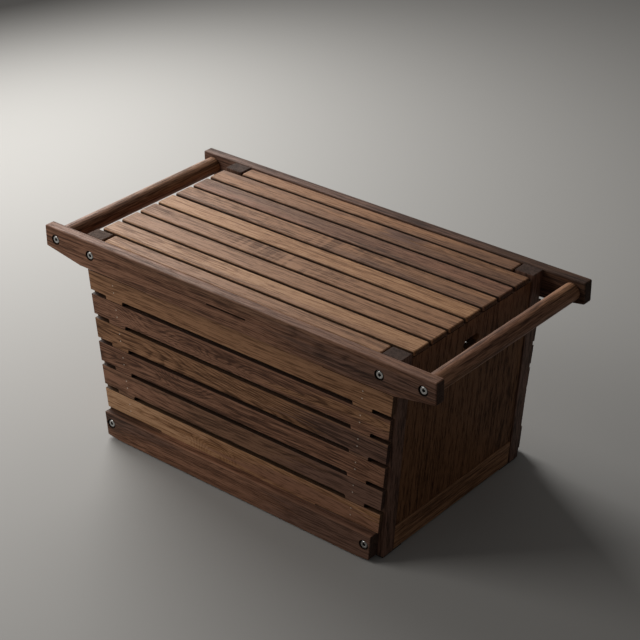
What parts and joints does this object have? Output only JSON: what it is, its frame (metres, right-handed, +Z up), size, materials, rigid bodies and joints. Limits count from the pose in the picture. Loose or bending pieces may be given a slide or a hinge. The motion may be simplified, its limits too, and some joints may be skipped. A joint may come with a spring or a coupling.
{
  "type": "shipping crate",
  "caption": "Slatted walnut storage crate with leaning ends, round carry handles between long rails and a slatted lift-off lid.",
  "frame": {"origin": "on the floor, under the middle of the crate's outline", "axes": "+X along the crate, from the left handle to the right one; +Y from the front to the back; +Z up"},
  "size_m": [0.9, 0.457, 0.4095],
  "materials": {
    "rail_walnut": "oiled walnut, satin",
    "post_walnut": "oiled walnut, end grain up, satin",
    "slat_walnut": "oiled walnut, satin",
    "lid_walnut": "oiled walnut, satin",
    "panel_veneer": "walnut veneer, satin",
    "handle_walnut": "turned walnut, satin",
    "floor_plywood": "plain plywood, matt",
    "bolt_steel": "bright steel",
    "pad_rubber": "matt black"
  },
  "bodies": {
    "crate": {"front_top_rail": "rail_walnut", "back_top_rail": "rail_walnut", "front_bottom_rail": "rail_walnut", "back_bottom_rail": "rail_walnut", "front_slat_1": "slat_walnut", "front_slat_2": "slat_walnut", "front_slat_3": "slat_walnut", "front_slat_4": "slat_walnut", "front_slat_5": "slat_walnut", "front_slat_6": "slat_walnut", "back_slat_1": "slat_walnut", "back_slat_2": "slat_walnut", "back_slat_3": "slat_walnut", "back_slat_4": "slat_walnut", "back_slat_5": "slat_walnut", "back_slat_6": "slat_walnut", "front_left_post": "post_walnut", "front_right_post": "post_walnut", "back_left_post": "post_walnut", "back_right_post": "post_walnut", "front_left_slat_cleat": "post_walnut", "front_right_slat_cleat": "post_walnut", "back_left_slat_cleat": "post_walnut", "back_right_slat_cleat": "post_walnut", "left_end_panel": "panel_veneer", "right_end_panel": "panel_veneer", "left_end_rail": "rail_walnut", "right_end_rail": "rail_walnut", "left_handle": "handle_walnut", "right_handle": "handle_walnut", "front_left_handle_bolt": "bolt_steel", "front_left_post_bolt": "bolt_steel", "front_left_foot_bolt": "bolt_steel", "front_right_handle_bolt": "bolt_steel", "front_right_post_bolt": "bolt_steel", "front_right_foot_bolt": "bolt_steel", "back_left_handle_bolt": "bolt_steel", "back_left_post_bolt": "bolt_steel", "back_left_foot_bolt": "bolt_steel", "back_right_handle_bolt": "bolt_steel", "back_right_post_bolt": "bolt_steel", "back_right_foot_bolt": "bolt_steel", "front_left_foot_pad": "pad_rubber", "front_right_foot_pad": "pad_rubber", "back_left_foot_pad": "pad_rubber", "back_right_foot_pad": "pad_rubber", "floor_board": "floor_plywood", "front_floor_bearer": "rail_walnut", "back_floor_bearer": "rail_walnut"},
    "lid": {"lid_board_1": "lid_walnut", "lid_board_2": "lid_walnut", "lid_board_3": "lid_walnut", "lid_board_4": "lid_walnut", "lid_board_5": "lid_walnut", "lid_board_6": "lid_walnut", "lid_board_7": "lid_walnut", "lid_front_board": "lid_walnut", "lid_back_board": "lid_walnut", "lid_batten_1": "lid_walnut", "lid_batten_2": "lid_walnut"}
  },
  "joints": [
    {"name": "lid_lift", "type": "slide", "parent": "crate", "child": "lid", "axis": [0, 0, 1], "range_m": [0, 0.06]}
  ]
}
